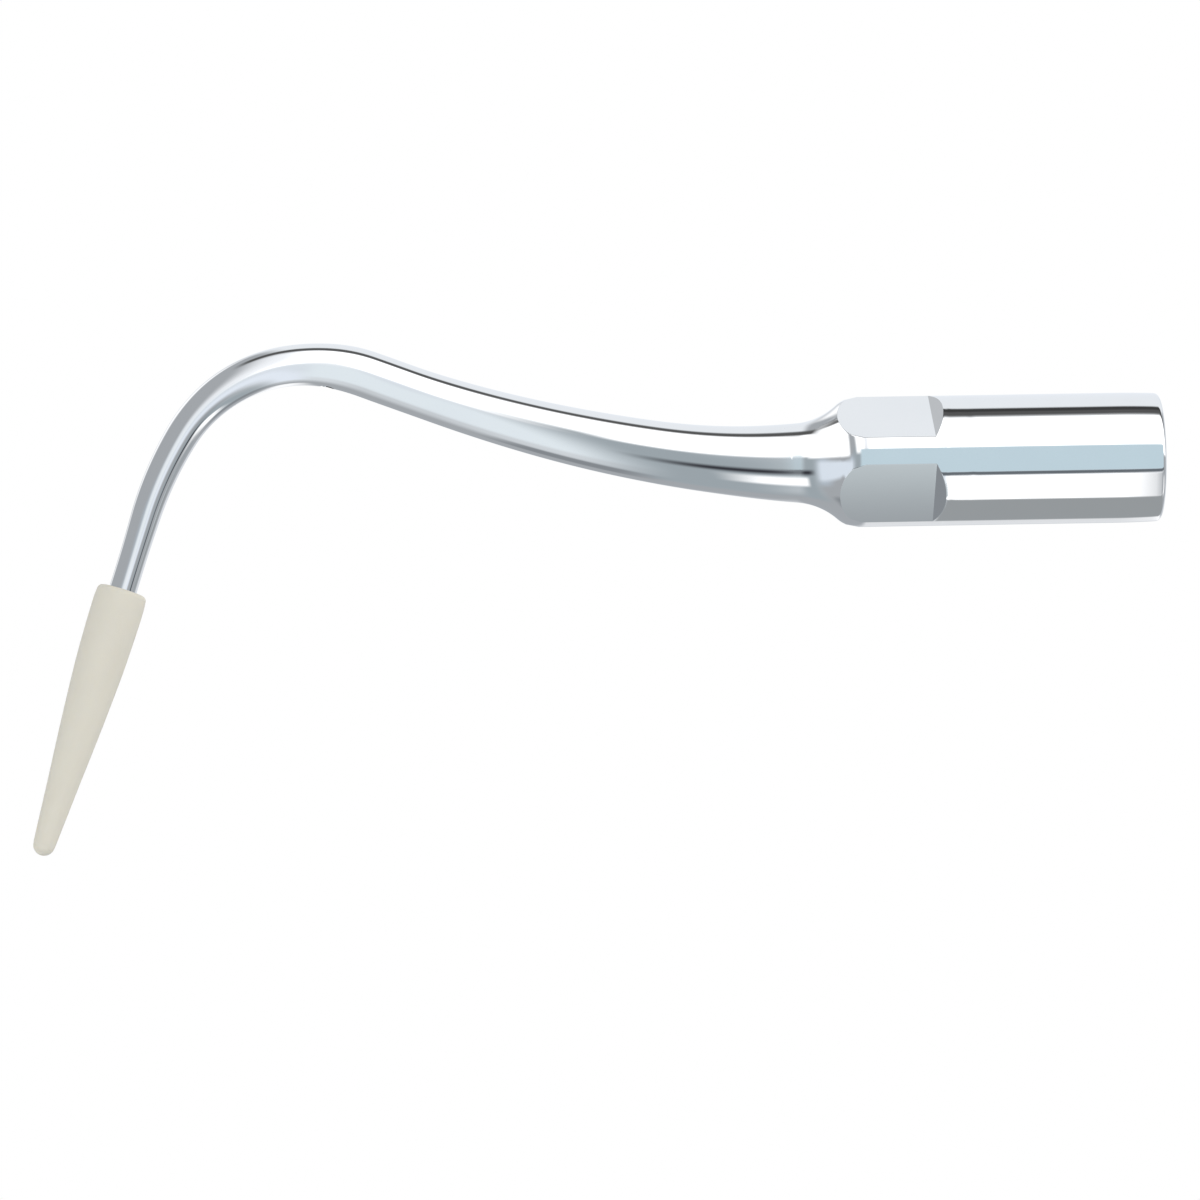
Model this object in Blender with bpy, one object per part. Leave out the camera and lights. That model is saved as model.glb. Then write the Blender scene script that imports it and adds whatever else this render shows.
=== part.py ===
"""Ultrasonic scaler tip for cleaning implants: a bent steel tip body and its push-on plastic sleeve.

Frame: the origin is the centre of the hub's mouth, +X points out of the mouth along the hub's axis, the tip
bends in the XZ plane and ends pointing down, and +Z is up.  "Distance" always means the distance walked
along the tip's centreline from the mouth.
"""

import math

import bmesh
import bpy
from mathutils import Matrix, Vector

MM = 0.001

# Hub, a turned cylinder with a tapped socket and four wrench flats
HUB_RADIUS = 2.5 * MM
MOUTH_RIM_ROUNDING = 0.2 * MM
MOUTH_CHAMFER = 0.35 * MM
THREAD_MAJOR_RADIUS = 1.5 * MM
THREAD_MINOR_RADIUS = 1.2 * MM
THREAD_PITCH = 0.6 * MM
THREAD_HALF_ANGLE = math.radians(30.0)
THREAD_DEPTH = 5.4 * MM
TAP_DRILL_DEPTH = 6.4 * MM
DRILL_POINT_ANGLE = math.radians(118.0)
ACROSS_FLATS = 4.2 * MM
FLATS_TURN = math.radians(52.5)
FLATS_START = 8.94 * MM
FLATS_END = 13.4 * MM
FLATS_CUTTER_HEIGHT = 3.2 * MM
FLATS_CUTTER_HALF_WIDTH = 2.4 * MM

# Flare from the hub down to the shank: a rounded edge, then a hollow arc that meets the shank
FLARE_HOLLOW_RADIUS = 2.7 * MM
FLARE_EDGE_RADIUS = 1.2 * MM
FLARE_FOOT = 14.1 * MM
FLARE_FOOT_SLOPE = 4.0

# Centreline behind the hub: (bend radius, turn in degrees, + is up), or (length, 0) for a straight stretch
SHANK_START = 13.6 * MM
BENDS = (
    (34.5 * MM, 10.0),
    (54.5 * MM, 10.5),
    (1.5 * MM, 0.0),
    (6.7 * MM, -26.5),
    (5.7 * MM, -51.5),
    (14.0 * MM, -14.0),
    (20.0 * MM, 0.0),
)

# Tapering shank and rod: (distance, radius), smoothly joined
SHANK_TAPER = (
    (14.1 * MM, 1.520 * MM),
    (16.5 * MM, 1.335 * MM),
    (18.5 * MM, 1.235 * MM),
    (22.0 * MM, 1.128 * MM),
    (28.5 * MM, 0.925 * MM),
    (31.5 * MM, 0.905 * MM),
    (33.6 * MM, 0.800 * MM),
    (36.0 * MM, 0.745 * MM),
    (39.0 * MM, 0.655 * MM),
    (42.0 * MM, 0.592 * MM),
    (44.1 * MM, 0.540 * MM),
    (45.8 * MM, 0.540 * MM),
)

# Spigot, the thin end of the rod that the sleeve is pushed onto
COLLAR = 45.75 * MM
SHOULDER_DEPTH = 0.35 * MM
SPIGOT_RADIUS = 0.43 * MM
SPIGOT_REACH = 6.5 * MM
SPIGOT_CHAMFER = 0.12 * MM
GRIP_GROOVES = 4
GRIP_GROOVE_DEPTH = 0.06 * MM
GRIP_GROOVE_WIDTH = 0.24 * MM
GRIP_GROOVE_PITCH = 1.1 * MM
FIRST_GRIP_GROOVE = 1.6 * MM

# Water channel, drilled from the socket and leaving on the inner side of the bend
CHANNEL_RADIUS = 0.26 * MM
CHANNEL_END = 32.2 * MM
OUTLET_RADIUS = 0.24 * MM
OUTLET_LEAN = math.radians(38.0)
OUTLET_SETBACK = 0.3 * MM
OUTLET_REACH = 2.2 * MM

# Plastic sleeve: (distance from the collar's face, radius) of its outside, its rounded ends and its blind bore
SLEEVE_LENGTH = 10.7 * MM
COLLAR_ROUNDING = 0.2 * MM
SLEEVE_OUTSIDE = (
    (0.2 * MM, 0.975 * MM),
    (0.5 * MM, 1.000 * MM),
    (1.6 * MM, 0.995 * MM),
    (3.1 * MM, 0.950 * MM),
    (5.5 * MM, 0.797 * MM),
    (7.9 * MM, 0.607 * MM),
    (9.2 * MM, 0.512 * MM),
    (10.2 * MM, 0.437 * MM),
)
NOSE_ROUNDING = 0.42 * MM
BORE_CLEARANCE = 0.05 * MM
BORE_END_ROOM = 0.3 * MM
BORE_POINT_SLOPE = 0.6

# Mesh steps, and how far cutters reach past what they cut
SIDES = 32
THREAD_STEPS = 18
CHANNEL_SIDES = 10
RING_SPACING = 1.1 * MM
SLEEVE_RING_SPACING = 0.55 * MM
SOCKET_CUT_OVERLAP = 1.0 * MM
THREAD_CUT_OVERLAP = 0.06 * MM
THREAD_LEAD_IN_TURNS = 1.5
MERGE_DISTANCE = 0.0005 * MM
SHARP_ANGLE = math.radians(30.0)

STEEL = (0.80, 0.81, 0.82)
PEEK = (0.72, 0.69, 0.60)


def clear_scene():
    for thing in list(bpy.data.objects):
        bpy.data.objects.remove(thing, do_unlink=True)


def material(name, colour, roughness, metallic):
    made = bpy.data.materials.new(name)
    made.use_nodes = True
    shader = made.node_tree.nodes["Principled BSDF"]
    shader.inputs["Base Color"].default_value = (*colour, 1.0)
    shader.inputs["Roughness"].default_value = roughness
    shader.inputs["Metallic"].default_value = metallic
    return made


def add_object(name, mesh_builder, finish=None, parent=None):
    mesh = bpy.data.meshes.new(name)
    bmesh.ops.recalc_face_normals(mesh_builder, faces=mesh_builder.faces)
    mesh_builder.to_mesh(mesh)
    mesh_builder.free()
    made = bpy.data.objects.new(name, mesh)
    bpy.context.scene.collection.objects.link(made)
    if finish:
        mesh.materials.append(finish)
    if parent:
        made.parent = parent
    return made


def cut(target, cutter):
    cutter.hide_render = True
    cutter.display_type = "WIRE"
    boolean = target.modifiers.new(cutter.name, "BOOLEAN")
    boolean.operation = "DIFFERENCE"
    boolean.object = cutter
    boolean.solver = "EXACT"


def centreline(distance):
    """Point of the centreline at a distance from the mouth, and the direction in which it goes on."""
    x, z, heading = -min(distance, SHANK_START), 0.0, 0.0
    left = distance - SHANK_START
    for size, turn in BENDS:
        if left <= 0.0:
            break
        angle = math.radians(turn)
        length = size * abs(angle) if turn else size
        step = min(left, length)
        if turn:
            turned = angle * step / length
            side = math.copysign(size, turn)
            x -= side * (math.sin(heading + turned) - math.sin(heading))
            z -= side * (math.cos(heading + turned) - math.cos(heading))
            heading += turned
        else:
            x -= step * math.cos(heading)
            z += step * math.sin(heading)
        left -= step
    return Vector((x, 0.0, z)), Vector((-math.cos(heading), 0.0, math.sin(heading)))


def smooth_curve(stations, place):
    """Value at a place on a smooth curve through (place, value) stations."""
    last = len(stations) - 1
    index = next((i for i in range(last) if place <= stations[i + 1][0]), last - 1)

    def slope(i):
        low, high = stations[max(i - 1, 0)], stations[min(i + 1, last)]
        return (high[1] - low[1]) / (high[0] - low[0])

    (start, first), (end, second) = stations[index], stations[index + 1]
    span = end - start
    t = min(max((place - start) / span, 0.0), 1.0)
    return (
        (2 * t**3 - 3 * t**2 + 1) * first
        + (t**3 - 2 * t**2 + t) * span * slope(index)
        + (3 * t**2 - 2 * t**3) * second
        + (t**3 - t**2) * span * slope(index + 1)
    )


def rounded(centre, radius, start, end, steps):
    """Points of an arc as (distance, radius) pairs, from one angle to another, in degrees."""
    angles = [math.radians(start + (end - start) * i / steps) for i in range(steps + 1)]
    return [(centre[0] + radius * math.cos(a), centre[1] + radius * math.sin(a)) for a in angles]


def flare_outline():
    """The rounded edge behind the hub and the hollow arc below it, tangent to each other."""
    slope = math.radians(FLARE_FOOT_SLOPE)
    hollow = (
        FLARE_FOOT + FLARE_HOLLOW_RADIUS * math.sin(slope),
        SHANK_TAPER[0][1] + FLARE_HOLLOW_RADIUS * math.cos(slope),
    )
    edge_height = HUB_RADIUS - FLARE_EDGE_RADIUS
    reach = FLARE_HOLLOW_RADIUS + FLARE_EDGE_RADIUS
    edge = (hollow[0] - math.sqrt(reach**2 - (hollow[1] - edge_height) ** 2), edge_height)
    meet = math.degrees(math.atan2(hollow[1] - edge[1], hollow[0] - edge[0]))
    return rounded(edge, FLARE_EDGE_RADIUS, 90.0, meet, 5) + rounded(
        hollow, FLARE_HOLLOW_RADIUS, meet - 180.0, -90.0 - FLARE_FOOT_SLOPE, 7
    )[1:]


def spigot_outline():
    shoulder = COLLAR + SHOULDER_DEPTH
    outline = [(shoulder, SHANK_TAPER[-1][1]), (shoulder, SPIGOT_RADIUS)]
    for index in range(GRIP_GROOVES):
        start = COLLAR + FIRST_GRIP_GROOVE + index * GRIP_GROOVE_PITCH
        floor = SPIGOT_RADIUS - GRIP_GROOVE_DEPTH
        outline += [
            (start, SPIGOT_RADIUS),
            (start + GRIP_GROOVE_DEPTH, floor),
            (start + GRIP_GROOVE_WIDTH - GRIP_GROOVE_DEPTH, floor),
            (start + GRIP_GROOVE_WIDTH, SPIGOT_RADIUS),
        ]
    end = COLLAR + SPIGOT_REACH
    return outline + [(end - SPIGOT_CHAMFER, SPIGOT_RADIUS), (end, SPIGOT_RADIUS - SPIGOT_CHAMFER)]


def tip_outline():
    """Outside of the tip body as (distance, radius) pairs, from the mouth to the spigot's end."""
    rim = (MOUTH_RIM_ROUNDING, HUB_RADIUS - MOUTH_RIM_ROUNDING)
    outline = rounded(rim, MOUTH_RIM_ROUNDING, 180.0, 90.0, 3) + flare_outline()
    count = round((SHANK_TAPER[-1][0] - FLARE_FOOT) / RING_SPACING)
    for index in range(1, count + 1):
        distance = FLARE_FOOT + (SHANK_TAPER[-1][0] - FLARE_FOOT) * index / count
        outline.append((distance, smooth_curve(SHANK_TAPER, distance)))
    return outline + spigot_outline()


def swept(outline, sides):
    """Closed body whose round sections follow the centreline."""
    build = bmesh.new()
    rings = []
    for distance, radius in outline:
        point, forward = centreline(distance)
        across = Vector((0.0, 1.0, 0.0))
        up = forward.cross(across)
        ring = []
        for index in range(sides):
            angle = 2 * math.pi * index / sides
            ring.append(build.verts.new(point + radius * (math.cos(angle) * across + math.sin(angle) * up)))
        rings.append(ring)
    build.faces.new(rings[0])
    build.faces.new(rings[-1])
    for first, second in zip(rings, rings[1:]):
        for index in range(sides):
            after = (index + 1) % sides
            build.faces.new((first[index], first[after], second[after], second[index]))
    return build


def turned(outline, sides):
    """Closed body turned about the local Z axis from the (height, radius) pairs of its half section."""
    build = bmesh.new()
    profile = [build.verts.new((radius, 0.0, height)) for height, radius in outline]
    edges = [build.edges.new(pair) for pair in zip(profile, profile[1:])]
    bmesh.ops.spin(
        build,
        geom=profile + edges,
        cent=(0.0, 0.0, 0.0),
        axis=(0.0, 0.0, 1.0),
        angle=2 * math.pi,
        steps=sides,
        use_merge=True,
    )
    bmesh.ops.remove_doubles(build, verts=build.verts, dist=MERGE_DISTANCE)
    return build


def along_x(thing):
    """Turns a body made about Z so that its heights run along the hub's axis, +Z to +X."""
    thing.rotation_euler = (0.0, math.radians(90.0), 0.0)


def socket_cutter():
    drill_point = THREAD_MINOR_RADIUS / math.tan(DRILL_POINT_ANGLE / 2)
    outside = SOCKET_CUT_OVERLAP
    mouth_radius = THREAD_MINOR_RADIUS + MOUTH_CHAMFER
    outline = [
        (-TAP_DRILL_DEPTH - drill_point, 0.0),
        (-TAP_DRILL_DEPTH, THREAD_MINOR_RADIUS),
        (-MOUTH_CHAMFER, THREAD_MINOR_RADIUS),
        (outside, mouth_radius + outside),
        (outside, 0.0),
    ]
    cutter = add_object("socket_cutter", turned(outline, SIDES))
    along_x(cutter)
    return cutter


def thread_cutter():
    """A right-hand 60 degree groove that winds in from outside the mouth, as a tap cuts it."""
    inner = THREAD_MINOR_RADIUS - THREAD_CUT_OVERLAP
    crest = THREAD_PITCH / 16
    root = crest + (THREAD_MAJOR_RADIUS - inner) * math.tan(THREAD_HALF_ANGLE)
    section = ((inner, -root), (THREAD_MAJOR_RADIUS, -crest), (THREAD_MAJOR_RADIUS, crest), (inner, root))
    lead_in = THREAD_LEAD_IN_TURNS * THREAD_PITCH
    turns = (THREAD_DEPTH + lead_in) / THREAD_PITCH
    steps = round(turns * THREAD_STEPS)
    build = bmesh.new()
    sections = []
    for index in range(steps + 1):
        angle = -2 * math.pi * index / THREAD_STEPS
        height = lead_in - THREAD_PITCH * index / THREAD_STEPS
        sections.append(
            [build.verts.new((r * math.cos(angle), r * math.sin(angle), height + rise)) for r, rise in section]
        )
    build.faces.new(sections[0])
    build.faces.new(sections[-1])
    for first, second in zip(sections, sections[1:]):
        for index in range(len(section)):
            after = (index + 1) % len(section)
            build.faces.new((first[index], first[after], second[after], second[index]))
    cutter = add_object("thread_cutter", build)
    along_x(cutter)
    return cutter


def flats_cutter():
    """Four prisms, each leaving one wrench flat that ends in a 45 degree run-out."""
    flat = ACROSS_FLATS / 2
    clear = FLATS_CUTTER_HEIGHT
    outline = (
        (-FLATS_END, flat),
        (-FLATS_START, flat),
        (-FLATS_START + clear - flat, clear),
        (-FLATS_END, clear),
    )
    build = bmesh.new()
    for quarter in range(4):
        turn = Matrix.Rotation(math.radians(90.0 * quarter) - FLATS_TURN, 3, "X")
        ends = []
        for side in (-FLATS_CUTTER_HALF_WIDTH, FLATS_CUTTER_HALF_WIDTH):
            ends.append([build.verts.new(turn @ Vector((x, -height, side))) for x, height in outline])
        near, far = ends
        build.faces.new(near)
        build.faces.new(far)
        for index in range(len(outline)):
            after = (index + 1) % len(outline)
            build.faces.new((near[index], near[after], far[after], far[index]))
    return add_object("flats_cutter", build)


def channel_cutter():
    """The water channel, from inside the socket to just past the foot of its outlet."""
    start = TAP_DRILL_DEPTH
    count = round((CHANNEL_END - start) / RING_SPACING)
    outline = [(start + (CHANNEL_END - start) * index / count, CHANNEL_RADIUS) for index in range(count + 1)]
    return add_object("channel_cutter", swept(outline, CHANNEL_SIDES))


def outlet_cutter():
    """A hole from the channel down through the inner side of the bend, leaning towards the sleeve."""
    point, forward = centreline(CHANNEL_END - OUTLET_SETBACK)
    down = forward.cross(Vector((0.0, 1.0, 0.0)))
    if down.z > 0.0:
        down.negate()
    way = math.cos(OUTLET_LEAN) * down + math.sin(OUTLET_LEAN) * forward
    outline = [(0.0, 0.0), (0.0, OUTLET_RADIUS), (OUTLET_REACH, OUTLET_RADIUS), (OUTLET_REACH, 0.0)]
    cutter = add_object("outlet_cutter", turned(outline, CHANNEL_SIDES))
    cutter.location = point
    cutter.rotation_mode = "QUATERNION"
    cutter.rotation_quaternion = way.to_track_quat("Z", "Y")
    return cutter


def tip_body(steel):
    body = add_object("tip_body", swept(tip_outline(), SIDES), steel)
    for cutter in (socket_cutter(), thread_cutter(), flats_cutter(), channel_cutter(), outlet_cutter()):
        cut(body, cutter)
    body.data.shade_smooth()
    body.data.set_sharp_from_angle(angle=SHARP_ANGLE)
    return body


def sleeve_outline():
    """The sleeve's outside from its collar to its nose, then back up its blind, stepped bore."""
    bore = SPIGOT_RADIUS + BORE_CLEARANCE
    counterbore = SHANK_TAPER[-1][1] + BORE_CLEARANCE
    counterbore_depth = SHOULDER_DEPTH + BORE_CLEARANCE
    depth = SPIGOT_REACH + BORE_END_ROOM
    collar = (COLLAR_ROUNDING, SLEEVE_OUTSIDE[0][1] - COLLAR_ROUNDING)
    outside = rounded(collar, COLLAR_ROUNDING, 180.0, 100.0, 3)
    first, last = SLEEVE_OUTSIDE[0][0], SLEEVE_OUTSIDE[-1][0]
    count = round((last - first) / SLEEVE_RING_SPACING)
    for index in range(count + 1):
        place = first + (last - first) * index / count
        outside.append((place, smooth_curve(SLEEVE_OUTSIDE, place)))
    nose = (SLEEVE_LENGTH - NOSE_ROUNDING, 0.0)
    outside += rounded(nose, NOSE_ROUNDING, 75.0, 0.0, 5)
    inside = [
        (depth + bore * BORE_POINT_SLOPE, 0.0),
        (depth, bore),
        (counterbore_depth, bore),
        (counterbore_depth, counterbore),
        (0.0, counterbore),
    ]
    return outside + inside


def peek_sleeve(peek):
    axis = bpy.data.objects.new("sleeve_axis", None)
    bpy.context.scene.collection.objects.link(axis)
    point, forward = centreline(COLLAR)
    axis.location = point
    axis.rotation_mode = "QUATERNION"
    axis.rotation_quaternion = forward.to_track_quat("Z", "Y")
    outline = sleeve_outline()
    sleeve = add_object("peek_sleeve", turned(outline + outline[:1], SIDES), peek, axis)
    sleeve.data.shade_smooth()
    sleeve.data.set_sharp_from_angle(angle=SHARP_ANGLE)
    return sleeve


def main():
    clear_scene()
    tip_body(material("polished_steel", STEEL, 0.15, 1.0))
    peek_sleeve(material("peek", PEEK, 0.55, 0.0))


main()
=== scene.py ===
"""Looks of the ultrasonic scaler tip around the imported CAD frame: fine meshes, finishes, studio and camera.

Lengths are in metres.  The tip's centreline starts at the hub's mouth, at the origin, and runs towards -X.
Studio directions are given by two angles in degrees: "round" goes round the X axis, from the side that
faces the camera (0) over the top (90) to the back (180), and "along" leans from that circle towards +X (90).
Panels whose origin is "back" count "round" from the back (0) over the top (90) instead.
"""

import math

import bmesh
import bpy
from mathutils import Matrix, Vector


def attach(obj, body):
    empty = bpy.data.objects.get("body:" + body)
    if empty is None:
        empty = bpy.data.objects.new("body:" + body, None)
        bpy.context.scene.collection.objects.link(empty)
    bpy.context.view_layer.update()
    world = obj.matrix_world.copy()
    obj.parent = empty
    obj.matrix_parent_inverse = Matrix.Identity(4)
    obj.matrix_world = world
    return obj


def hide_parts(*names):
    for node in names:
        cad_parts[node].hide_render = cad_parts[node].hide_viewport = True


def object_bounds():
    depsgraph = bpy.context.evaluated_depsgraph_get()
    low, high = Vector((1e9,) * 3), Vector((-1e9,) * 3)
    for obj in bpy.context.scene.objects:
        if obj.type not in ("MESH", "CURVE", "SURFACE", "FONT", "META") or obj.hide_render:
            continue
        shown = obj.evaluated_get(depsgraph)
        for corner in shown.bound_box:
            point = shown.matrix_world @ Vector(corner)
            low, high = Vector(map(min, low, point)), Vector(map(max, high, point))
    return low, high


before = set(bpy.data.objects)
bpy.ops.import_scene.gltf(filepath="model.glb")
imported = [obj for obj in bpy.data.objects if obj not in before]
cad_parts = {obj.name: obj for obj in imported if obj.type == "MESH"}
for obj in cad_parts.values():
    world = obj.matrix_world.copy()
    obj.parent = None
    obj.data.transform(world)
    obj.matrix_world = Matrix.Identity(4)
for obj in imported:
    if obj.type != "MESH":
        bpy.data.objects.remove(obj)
cad_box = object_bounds()

MM = 0.001
DEGREES_PER_RADIAN = math.degrees(1.0)

# Hub
HUB_RADIUS = 2.5 * MM
RIM_ROUNDING = 0.2 * MM
CROWN_REACH = 1.7 * MM
CROWN_DROP = 0.045 * MM
SOCKET_CHAMFER = 0.35 * MM
THREAD_MINOR_RADIUS = 1.2 * MM
THREAD_DEPTH = 0.3 * MM
THREAD_PITCH = 0.6 * MM
THREAD_END = 5.4 * MM
THREAD_FADE = 0.5 * MM
DRILL_DEPTH = 6.4 * MM
DRILL_POINT_ANGLE = math.radians(118.0)
ROWS_PER_PITCH = 14
# Share of the thread's depth where the chamfer ends; it grows to the full depth within the first pitch
THREAD_START_SHARE = 0.3
# The thread's profile overshoots root and crest by this share of its depth, and is clipped flat there
THREAD_CLIP = 0.125
# Shares of the way at which rings lie on the mouth's chamfer and on the drill's point
CHAMFER_SHARES = (0.0, 0.06, 0.5, 0.94)
POINT_SHARES = (0.04, 0.5, 0.75, 0.9, 0.97)

# Wrench flats
FLAT_HEIGHT = 2.1 * MM
FLATS_TURN = 52.5
FLATS_START = 8.94 * MM
RUN_OUT_TOP = FLATS_START + FLAT_HEIGHT - HUB_RADIUS

# Flare: a rounded edge, then a hollow arc that meets the shank
HOLLOW_RADIUS = 2.7 * MM
EDGE_RADIUS = 1.2 * MM
FLARE_FOOT = 14.1 * MM
FLARE_FOOT_SLOPE = math.radians(4.0)

# Centreline behind the hub: (bend radius, turn in degrees, + is up), or (length, 0) for a straight stretch
SHANK_START = 13.6 * MM
BENDS = (
    (34.5 * MM, 10.0),
    (54.5 * MM, 10.5),
    (1.5 * MM, 0.0),
    (6.7 * MM, -26.5),
    (5.7 * MM, -51.5),
    (14.0 * MM, -14.0),
    (20.0 * MM, 0.0),
)

# Tapering shank and rod: (distance, radius), smoothly joined
SHANK_TAPER = (
    (14.1 * MM, 1.520 * MM),
    (16.5 * MM, 1.335 * MM),
    (18.5 * MM, 1.235 * MM),
    (22.0 * MM, 1.128 * MM),
    (28.5 * MM, 0.925 * MM),
    (31.5 * MM, 0.905 * MM),
    (33.6 * MM, 0.800 * MM),
    (36.0 * MM, 0.745 * MM),
    (39.0 * MM, 0.655 * MM),
    (42.0 * MM, 0.592 * MM),
    (44.1 * MM, 0.540 * MM),
    (45.8 * MM, 0.540 * MM),
)

# Spigot under the sleeve
COLLAR = 45.75 * MM
SHOULDER_DEPTH = 0.35 * MM
SPIGOT_RADIUS = 0.43 * MM
SPIGOT_REACH = 6.5 * MM
SPIGOT_CHAMFER = 0.12 * MM
GRIP_GROOVES = 4
GROOVE_DEPTH = 0.06 * MM
GROOVE_WIDTH = 0.24 * MM
GROOVE_PITCH = 1.1 * MM
FIRST_GROOVE = 1.6 * MM
SPIGOT_SOFTENING = 0.02 * MM

# Water channel and its outlet
CHANNEL_RADIUS = 0.26 * MM
CHANNEL_END = 32.2 * MM
OUTLET_RADIUS = 0.24 * MM
OUTLET_LEAN = math.radians(38.0)
OUTLET_SETBACK = 0.3 * MM
OUTLET_REACH = 2.2 * MM

# Plastic sleeve: (distance from the collar's face, radius) of its outside
SLEEVE_LENGTH = 10.7 * MM
SLEEVE_OUTSIDE = (
    (0.2 * MM, 0.975 * MM),
    (0.5 * MM, 1.000 * MM),
    (1.6 * MM, 0.995 * MM),
    (3.1 * MM, 0.950 * MM),
    (5.5 * MM, 0.797 * MM),
    (7.9 * MM, 0.607 * MM),
    (9.2 * MM, 0.512 * MM),
    (10.2 * MM, 0.437 * MM),
)
# Roundings of the collar and the nose, with the angles in degrees between which each is drawn
COLLAR_ROUNDING = 0.2 * MM
COLLAR_ARC = (180.0, 96.0)
NOSE_ROUNDING = 0.42 * MM
NOSE_ARC = (75.0, 6.0)
BORE_CLEARANCE = 0.05 * MM
BORE_END_ROOM = 0.3 * MM
BORE_LIP = 0.04 * MM
# Last ring of the bore's blind end: its depth beyond the end and its radius, as shares of the bore's radius,
# and how far beyond that ring the bore's point lies
BORE_POINT = (0.4, 0.3)
BORE_POINT_RISE = 0.06 * MM

# Mesh fineness
RING_SPACING = 0.2 * MM
FLARE_SPACING = 0.6 * RING_SPACING
RIM_STEPS = 6
FLAT_END_STEPS = 8
GROOVE_STEPS = 8
FLAT_COLUMNS = 4
SIDE_COLUMNS = 20
EDGE_ROUNDING = 0.008 * MM
# The two columns just inside a flat's edge lie no nearer its middle than these shares: the outer one of the
# flat's half width, the inner one of the outer one's angle
INNER_COLUMN_SHARE = 0.9
LAST_COLUMN_SHARE = 0.8
# Beyond a flat's ends its columns ease back to even spacing within COLUMN_EASE, from LEAST_EASE of it
COLUMN_EASE = 5 * RING_SPACING
LEAST_EASE = 0.15
CHANNEL_SIDES = 24
CHANNEL_SPACING = 0.5 * MM
OUTLET_SIDES = 32
SLEEVE_SIDES = 128
SLEEVE_SPACING = 0.14 * MM
COLLAR_STEPS = 8
NOSE_STEPS = 10
STEEL_SHARP_ANGLE = 30.0
SLEEVE_SHARP_ANGLE = 35.0

# Camera: orthographic, slightly from the left and slightly from below, tilted by the roll
CAMERA_AZIMUTH = math.radians(-7.5)
CAMERA_ELEVATION = math.radians(-2.0)
CAMERA_ROLL = math.radians(1.2132)
CAMERA_DISTANCE = 0.3
FRAME_WIDTH = 46.154 * MM
FRAME_CENTRE = (-21.50 * MM, -5.50 * MM)

FLOOR_DROP = 45.0 * MM
FLOOR_SIZE = 1.2


# ---------------------------------------------------------------- shape of the tip


def centreline(distance):
    """Point of the centreline at a distance from the mouth, and the direction in which it goes on."""
    x, z, heading = -min(distance, SHANK_START), 0.0, 0.0
    left = distance - SHANK_START
    for size, turn in BENDS:
        if left <= 0.0:
            break
        angle = math.radians(turn)
        length = size * abs(angle) if turn else size
        step = min(left, length)
        if turn:
            turned = angle * step / length
            side = math.copysign(size, turn)
            x -= side * (math.sin(heading + turned) - math.sin(heading))
            z -= side * (math.cos(heading + turned) - math.cos(heading))
            heading += turned
        else:
            x -= step * math.cos(heading)
            z += step * math.sin(heading)
        left -= step
    return Vector((x, 0.0, z)), Vector((-math.cos(heading), 0.0, math.sin(heading)))


def smooth_curve(stations, place):
    """Value at a place on a smooth curve through (place, value) stations."""
    last = len(stations) - 1
    index = next((i for i in range(last) if place <= stations[i + 1][0]), last - 1)

    def slope(i):
        low, high = stations[max(i - 1, 0)], stations[min(i + 1, last)]
        return (high[1] - low[1]) / (high[0] - low[0])

    (start, first), (end, second) = stations[index], stations[index + 1]
    span = end - start
    t = min(max((place - start) / span, 0.0), 1.0)
    return (
        (2 * t**3 - 3 * t**2 + 1) * first
        + (t**3 - 2 * t**2 + t) * span * slope(index)
        + (3 * t**2 - 2 * t**3) * second
        + (t**3 - t**2) * span * slope(index + 1)
    )


def evenly(start, end, spacing):
    """Places from start to end, both included, about a spacing apart."""
    count = max(1, round(abs(end - start) / spacing))
    return [start + (end - start) * i / count for i in range(count + 1)]


def arc(centre, radius, start, end, steps):
    """Points of an arc as (distance, radius) pairs, from one angle to another, in degrees."""
    angles = [math.radians(start + (end - start) * i / steps) for i in range(steps + 1)]
    return [(centre[0] + radius * math.cos(a), centre[1] + radius * math.sin(a)) for a in angles]


HOLLOW = (
    FLARE_FOOT + HOLLOW_RADIUS * math.sin(FLARE_FOOT_SLOPE),
    SHANK_TAPER[0][1] + HOLLOW_RADIUS * math.cos(FLARE_FOOT_SLOPE),
)
EDGE_HEIGHT = HUB_RADIUS - EDGE_RADIUS
EDGE_START = HOLLOW[0] - math.sqrt((HOLLOW_RADIUS + EDGE_RADIUS) ** 2 - (HOLLOW[1] - EDGE_HEIGHT) ** 2)
ARCS_MEET = EDGE_RADIUS / (HOLLOW_RADIUS + EDGE_RADIUS)
MEET = (
    EDGE_START + (HOLLOW[0] - EDGE_START) * ARCS_MEET,
    EDGE_HEIGHT + (HOLLOW[1] - EDGE_HEIGHT) * ARCS_MEET,
)


def flare_place(radius):
    """Distance at which the flare has come down to a radius."""
    if radius >= MEET[1]:
        return EDGE_START + math.sqrt(EDGE_RADIUS**2 - (radius - EDGE_HEIGHT) ** 2)
    return HOLLOW[0] - math.sqrt(HOLLOW_RADIUS**2 - (HOLLOW[1] - radius) ** 2)


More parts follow.
